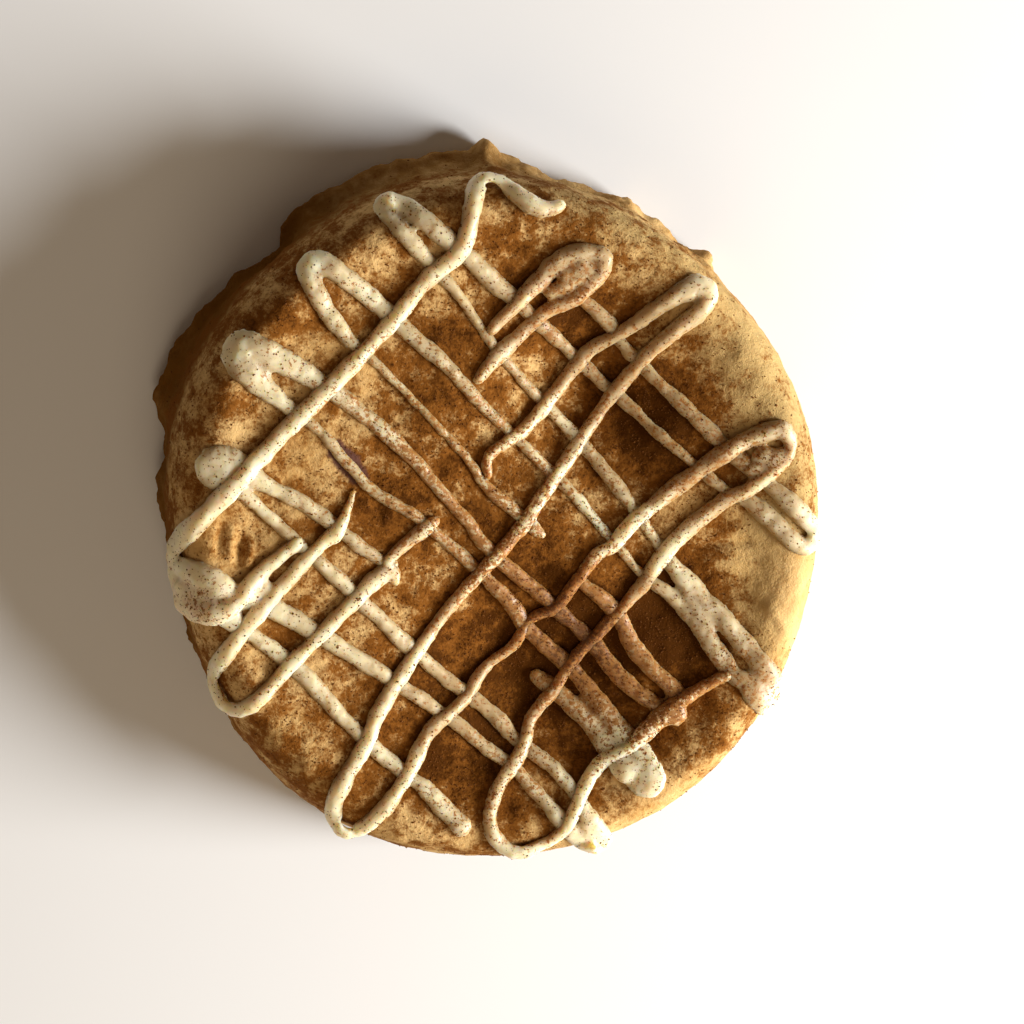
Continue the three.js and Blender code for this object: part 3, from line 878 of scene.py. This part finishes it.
@dataclass
class Drizzle:
    """The icing: round beads laid over the top in two crossing passes, fused where they meet in a pass."""

    tallest: float = 1.55
    spread: float = 2.3
    waist: float = 0.12
    back_power: float = 1.25
    nose_least: float = 0.004
    sink: float = 0.3
    shoulder_limit: float = 0.984
    drape: float = 0.8
    wobble: float = 0.15
    wobble_length: float = 4
    wander: float = 0.13
    wander_length: float = 5
    wander_shift: float = 120
    height_shift: float = 60
    # How far the icing has seeped into the dough all over, which dulls its thin edges; the patches are
    # painted shade that darkens the icing in the shaded hollows, and painted light where they are negative
    soak_and_shade: float = 0.25
    painted_shading_patches: tuple[Patch, ...] = oval_patches(
        (12, 24, 15, 10, -45, 0.7), (27, 8, 10, 8, -45, 0.6), (36, -22, 8, 8, -45, 0.55),
        (7, -19, 17, 10, -45, 0.55), (16, -14, 9, 8, -45, 0.6), (-5, -25, 9, 6, -30, 0.3),
        (13, -1, 11, 4, 0, -0.6), (18, -34, 6, 6, 0, -1.1),
    )
    ripple: float = 0.12
    ripple_length: float = 1.6
    softening: int = 5
    step: float = 0.3
    sides: int = 20
    voxel: float = 0.3
    hairpin: float = 110
    hairpin_reach: float = 3
    # Lengths from a hairpin at which a run starts to ride over its neighbour, and rides fully
    clear_from: float = 2.5
    clear_full: float = 5
    # Samples each way over which the lift, taken twice, and the ground are evened out
    lift_easing: tuple[int, int] = (6, 5)
    ground_easing: int = 3
    bridge: float = 6
    fullness: float = 1
    noise: CrumbNoise = field(default_factory=lambda: CrumbNoise(23))
    relief: Relief = field(default_factory=Relief)
    finish: IcingFinish = field(default_factory=IcingFinish)

    def bead_height(self, width: np.ndarray) -> np.ndarray:
        """Give a bead's height: nearly its width when thin, levelling off as it spreads."""
        return self.fullness * self.tallest * np.tanh(width / self.spread)

    def turns(self, path: np.ndarray) -> np.ndarray:
        """Find the hairpins: samples where the way behind and the way ahead differ most, past a set angle."""
        reach = int(self.hairpin_reach / self.step)
        if len(path) < 4 * reach:
            return np.empty(0, int)
        leap = path[reach:, :2] - path[:-reach, :2]
        bearing = np.arctan2(leap[:, 1], leap[:, 0])
        turn = np.abs(turn_between(bearing[reach:], bearing[:-reach]))
        padded = np.pad(turn, reach)
        peak = np.lib.stride_tricks.sliding_window_view(padded, 2 * reach + 1).max(axis=1)
        return np.flatnonzero((turn == peak) & (turn > math.radians(self.hairpin))) + reach

    def lifts(self, path: np.ndarray) -> np.ndarray:
        """Work out how far a stroke rises over the icing that already lies under it.

        A stroke is laid in runs between its hairpins; each run rides over earlier strokes, and over its own
        earlier runs once it is clear of the hairpin that joins them.

        Args:
            path: samples along the stroke: place in plan and width.

        Returns:
            The lift at each sample, eased along the stroke.
        """
        own = Relief(self.relief.reach, self.relief.cell)
        lift = np.zeros(len(path))
        cuts = [0, *self.turns(path).tolist(), len(path)]
        for first, last in zip(cuts[:-1], cuts[1:]):
            run = path[first:last]
            count = np.arange(last - first)
            clear = step_up(np.minimum(count, count[::-1]) * self.step, self.clear_from, self.clear_full)
            under = np.maximum(self.relief.at(run[:, 0], run[:, 1]), clear * own.at(run[:, 0], run[:, 1]))
            lift[first:last] = self.drape * under
            own.lay(run, run[:, 2] / 2, lift[first:last] + self.bead_height(run[:, 2]))
        first, second = self.lift_easing
        return eased(eased(lift, first), second)

    def trail(self, stroke: Places, dough: Dough) -> tuple[np.ndarray, np.ndarray]:
        """Carry one stroke over the dough in plan, wandering a little to each side and kept on the top.

        Args:
            stroke: places and widths along the stroke.
            dough: the dough that carries it.

        Returns:
            Samples of place and width, and the line along which their noise is read.
        """
        path = carried_curve(np.array(stroke), self.step)
        count = np.arange(len(path)) * self.step
        line = np.stack([count, np.zeros(len(path)), np.full(len(path), path[0, 0])], axis=-1)
        way = np.gradient(path[:, :2], axis=0)
        way /= np.linalg.norm(way, axis=1, keepdims=True)
        wander = self.wander * self.noise.layered(line + self.wander_shift, self.wander_length, 2)
        path[:, :2] += wander[:, None] * way[:, ::-1] * (-1, 1)
        limit = self.shoulder_limit * dough.dome_radius(np.arctan2(path[:, 1], path[:, 0]))
        path[:, :2] *= np.minimum(1, limit / np.hypot(path[:, 0], path[:, 1]))[:, None]
        return path, line

    def bead(self, stroke: Places, dough: Dough, pooled: bool) -> tuple[np.ndarray, np.ndarray]:
        """Carry a round section along one stroke, on the dough and square to it.

        The section is a low round back above its waist and half an ellipse below, sunk into what lies under
        it. It closes to a point over a rounded nose at each end.

        Args:
            stroke: places and widths along the stroke.
            dough: the dough that carries it.
            pooled: whether it has run together with its neighbours and lies among them, not over them.

        Returns:
            The bead's corners, and its faces as rows of four corner numbers.
        """
        path, line = self.trail(stroke, dough)
        count = line[:, 0]
        lift = np.zeros(len(path)) if pooled else self.lifts(path)
        width = path[:, 2] * (1 + self.wobble * self.noise.layered(line, self.wobble_length, 2))
        uneven = self.noise.layered(line + self.height_shift, self.wander_length, 2)
        high = self.bead_height(width) * (1 + self.wobble * uneven)
        self.relief.lay(path, width / 2, lift + high)
        ground = dough.top_height(path[:, 0], path[:, 1])
        ground = eased(np.maximum(ground, eased(ground, int(self.bridge / self.step))), self.ground_easing)
        base = np.column_stack([path[:, :2], ground])
        normal = dough.top_normal(path[:, 0], path[:, 1])
        ahead = np.gradient(base, axis=0)
        side = np.cross(ahead, normal)
        side /= np.linalg.norm(side, axis=1, keepdims=True)
        nose = np.minimum(count, count[-1] - count) / (0.5 * width)
        close = np.sqrt(np.clip(1 - np.clip(1 - nose, 0, 1) ** 2, self.nose_least, 1))
        angle = np.linspace(0, 2 * math.pi, self.sides, endpoint=False)
        lower = (self.waist * high + lift + self.sink)[:, None]
        upper = ((1 - self.waist) * high)[:, None]
        swing = np.sin(angle)
        upright = np.where(swing > 0, upper * np.abs(swing) ** self.back_power, lower * swing)
        across = (0.5 * width)[:, None] * np.cos(angle)
        rise = lift[:, None] + self.waist * high[:, None] + upright * close[:, None]
        aside = side[:, None] * (across * close[:, None])[..., None]
        rings = base[:, None] + aside + normal[:, None] * rise[..., None]
        number = np.arange(len(path) * self.sides).reshape(len(path), self.sides)
        after = np.roll(number, -1, axis=1)
        skin = np.stack([number[:-1], number[1:], after[1:], after[:-1]], axis=-1).reshape(-1, 4)
        return rings.reshape(-1, 3), skin

    def build(self, which: Pass, dough: Dough, dusting: Dusting) -> bpy.types.Object:
        """Lay one pass, fuse its beads into one skin, and dress it.

        Args:
            which: the pass, which names the piece.
            dough: the dough that carries it.
            dusting: where the cinnamon lies.

        Returns:
            The pass's icing as one closed piece.
        """
        self.fullness = which.fullness
        points: list[np.ndarray] = []
        faces: list[list[int]] = []
        laid = 0
        strokes, pools = LAID[which]
        for stroke in (*strokes, *pools):
            corners, skin = self.bead(stroke, dough, stroke in pools)
            last = len(corners) + laid
            points.append(corners)
            faces += (skin + laid).tolist()
            faces.append(list(range(laid, laid + self.sides)))
            faces.append(list(range(last - 1, last - 1 - self.sides, -1)))
            laid = last
        piece = mesh_object(which.value, np.concatenate(points), faces)
        fuse = piece.modifiers.new("fuse", "REMESH")
        fuse.mode = "VOXEL"
        fuse.voxel_size = self.voxel * MM
        soften = piece.modifiers.new("soften", "SMOOTH")
        soften.factor = 0.5
        soften.iterations = self.softening
        ready = piece.evaluated_get(bpy.context.evaluated_depsgraph_get())
        fused = bpy.data.meshes.new_from_object(ready)
        piece.modifiers.clear()
        piece.data = fused
        fused.name = which.value
        fused.shade_smooth()
        skin = form_points(piece)
        ripple = self.ripple * self.noise.layered(skin, self.ripple_length, 3)
        skin = skin + form_normals(piece) * ripple[:, None]
        move_points(piece, skin)
        mark(piece, "dust", dusting.on_icing(skin[:, 0], skin[:, 1]))
        depth = skin[:, 2] - dough.top_height(skin[:, 0], skin[:, 1])
        # The patches paint shade on the icing: they lower its depth so that the darker edge colour spreads
        # over it in the shaded hollows, and they paint light where negative
        soak_and_shade = self.soak_and_shade + patches_at(self.painted_shading_patches, skin[:, 0], skin[:, 1])
        mark(piece, "depth", depth - which.soak_and_shade_weight * soak_and_shade)
        piece.data.materials.clear()
        piece.data.materials.append(self.finish.material())
        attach(piece, "root")
        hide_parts("cookie")
        return piece


@dataclass
class Cinnamon:
    """Ground cinnamon: thousands of small angular grains lying on the dough and the icing."""

    on_dough: int = 9000
    on_icing: int = 3000
    smallest: float = 0.11
    largest: float = 0.42
    # Shapes of the curves that the grains' sizes and tones are drawn from, with more low values than high
    size_curve: tuple[float, float] = (1.3, 4)
    tone_curve: tuple[float, float] = (1.6, 2.4)
    # How far a grain's corners reach from its middle, as shares of its size
    reaches: tuple[float, float] = (0.32, 0.72)
    # Height of icing over the dough that keeps grains off it
    covered: float = 0.3
    seed: int = 5
    finish: CinnamonFinish = field(default_factory=CinnamonFinish)

    def sown(
        self, piece: bpy.types.Object, dust: np.ndarray, count: int, draw: np.random.Generator
    ) -> np.ndarray:
        """Draw places on a piece's faces, more where they are large, face up and are dusted.

        Args:
            piece: the piece that carries the grains.
            dust: the dust at each of its corners.
            count: number of grains.
            draw: source of the random draws.

        Returns:
            Places in millimetres from the dough's axis.
        """
        mesh = piece.data
        mesh.calc_loop_triangles()
        corners = np.empty(3 * len(mesh.loop_triangles), dtype=np.int32)
        mesh.loop_triangles.foreach_get("vertices", corners)
        corners = corners.reshape(-1, 3)
        spots = form_points(piece)[corners]
        square = np.cross(spots[:, 1] - spots[:, 0], spots[:, 2] - spots[:, 0])
        weight = np.maximum(square[:, 2], 0) * dust[corners].mean(axis=1)
        chosen = draw.choice(len(weight), count, p=weight / weight.sum())
        mix = draw.dirichlet((1, 1, 1), count)
        return np.einsum("gc,gcd->gd", mix, spots[chosen])

    def build(
        self, dough: bpy.types.Object, passes: list[bpy.types.Object], relief: Relief
    ) -> bpy.types.Object:
        """Scatter the grains and make them one piece.

        A grain is an uneven octahedron: six corners at random distances on three square axes, turned by a
        random rotation.

        Args:
            dough: the finished dough.
            passes: the finished passes of icing.
            relief: where icing covers the dough.

        Returns:
            The cinnamon as one piece.
        """
        draw = np.random.default_rng(self.seed)
        places: list[np.ndarray] = []
        for piece, count in ((dough, self.on_dough), *((one, self.on_icing) for one in passes)):
            dust = np.empty(len(piece.data.vertices), dtype=np.float32)
            piece.data.attributes["dust"].data.foreach_get("value", dust)
            if piece is dough:
                spots = form_points(piece)
                dust = np.where(relief.at(spots[:, 0], spots[:, 1]) > self.covered, 0, dust)
            places.append(self.sown(piece, dust.astype(float), count, draw))
        middle = np.concatenate(places)
        count = len(middle)
        size = self.smallest + (self.largest - self.smallest) * draw.beta(*self.size_curve, count)
        frame, _ = np.linalg.qr(draw.normal(size=(count, 3, 3)))
        axes = np.concatenate([frame, -frame], axis=1)
        reach = size[:, None] * draw.uniform(*self.reaches, (count, 6))
        corners = middle[:, None] + axes * reach[..., None]
        handed = np.linalg.det(frame) > 0
        ring = np.array([0, 1, 3, 4])
        after = np.roll(ring, -1)
        upper = np.stack([ring, after, np.full(4, 2)], axis=-1)
        lower = np.stack([after, ring, np.full(4, 5)], axis=-1)
        eight = np.concatenate([upper, lower])
        faces = np.where(handed[:, None, None], eight, eight[:, ::-1]) + 6 * np.arange(count)[:, None, None]
        piece = mesh_object("cinnamon", corners.reshape(-1, 3), faces.reshape(-1, 3).tolist())
        piece.data.shade_flat()
        mark(piece, "tone", np.repeat(draw.beta(*self.tone_curve, count), 6))
        piece.data.materials.append(self.finish.material())
        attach(piece, "root")
        return piece


@dataclass(frozen=True)
class Lamp:
    """A round soft lamp that looks at the origin: bearing, elevation, distance, size across and power."""

    name: str
    bearing: float
    elevation: float
    distance: float
    size: float
    power: float
    tint: Colour = (1, 0.98, 0.94)

    def hang(self) -> None:
        """Make the lamp and link it to the scene."""
        light = bpy.data.lights.new(self.name, "AREA")
        light.shape = "DISK"
        light.size = self.size * MM
        light.energy = self.power
        light.color = self.tint
        piece = bpy.data.objects.new(self.name, light)
        toward = heading(self.bearing, self.elevation)
        piece.location = toward * self.distance * MM
        piece.rotation_euler = toward.to_track_quat("Z", "Y").to_euler()
        bpy.context.scene.collection.objects.link(piece)


@dataclass
class Studio:
    """A pale floor, a soft low lamp at the right and a weaker one in front, a faint fill, and the camera."""

    tilt: float = 13
    tilt_bearing: float = 135
    aim: Place = (2.8, -1.3, 8)
    distance: float = 450
    per_pixel: float = 0.132
    picture: int = 1024
    sensor: float = 36
    nearest: float = 10
    lamps: tuple[Lamp, ...] = (
        Lamp("key", -16, 22, 620, 300, 8.9),
        Lamp("front", -100, 42, 700, 500, 1.3, (1, 0.8, 0.55)),
    )
    fill: float = 0.12
    fill_tint: Colour = (1, 0.7, 0.46)
    floor_reach: float = 2500
    floor_drop: float = 0.05
    floor_lines: int = 5
    finish: FloorFinish = field(default_factory=FloorFinish)

    def camera(self) -> None:
        """Stand the camera a little off upright, with the plan's +Y up the picture."""
        lens = bpy.data.cameras.new("camera")
        lens.sensor_width = self.sensor
        lens.lens = self.sensor * self.distance / (self.per_pixel * self.picture)
        lens.clip_start = self.nearest * MM
        piece = bpy.data.objects.new("camera", lens)
        back = heading(self.tilt_bearing, 90 - self.tilt)
        right = Vector((0, 1, 0)).cross(back).normalized()
        piece.location = (Vector(self.aim) + self.distance * back) * MM
        turn = piece.rotation_euler.to_matrix()
        turn.col[0] = right
        turn.col[1] = back.cross(right)
        turn.col[2] = back
        piece.rotation_euler = turn.to_euler()
        bpy.context.scene.collection.objects.link(piece)
        bpy.context.scene.camera = piece

    def lights(self) -> None:
        """Hang the soft lamps and set the fill."""
        for lamp in self.lamps:
            lamp.hang()
        world = bpy.data.worlds.new("fill")
        world.use_nodes = True
        sky = world.node_tree.nodes["Background"]
        sky.inputs["Color"].default_value = (*self.fill_tint, 1)
        sky.inputs["Strength"].default_value = self.fill
        bpy.context.scene.world = world
        bpy.context.scene.view_settings.view_transform = "Standard"

    def floor(self) -> None:
        """Lay the floor as a wide sheet whose far edge is out of every view."""
        side = np.linspace(-self.floor_reach, self.floor_reach, self.floor_lines)
        x, y = np.meshgrid(side, side)
        points = np.stack([x, y, np.full(x.shape, -self.floor_drop)], axis=-1).reshape(-1, 3)
        number = np.arange(x.size).reshape(x.shape)
        tiles = np.stack([number[:-1, :-1], number[:-1, 1:], number[1:, 1:], number[1:, :-1]], axis=-1)
        piece = mesh_object("floor", points, tiles.reshape(-1, 4).tolist())
        piece.data.materials.append(self.finish.material())


def main() -> None:
    """Load the frame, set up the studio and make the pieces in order."""
    logging.basicConfig(level=logging.INFO, format="%(name)s: %(message)s")
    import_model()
    studio = Studio()
    studio.camera()
    studio.lights()
    studio.floor()
    dusting = Dusting()
    dough = Dough()
    drizzle = Drizzle()
    pieces = [dough.build(dusting)]
    pieces.append(drizzle.build(Pass.FIRST, dough, dusting))
    pieces.append(drizzle.build(Pass.SECOND, dough, dusting))
    pieces.append(Cinnamon().build(pieces[0], pieces[1:], drizzle.relief))
    for piece in pieces:
        LOG.info("%s: %d corners, %d faces", piece.name, len(piece.data.vertices), len(piece.data.polygons))


if __name__ == "__main__":
    main()
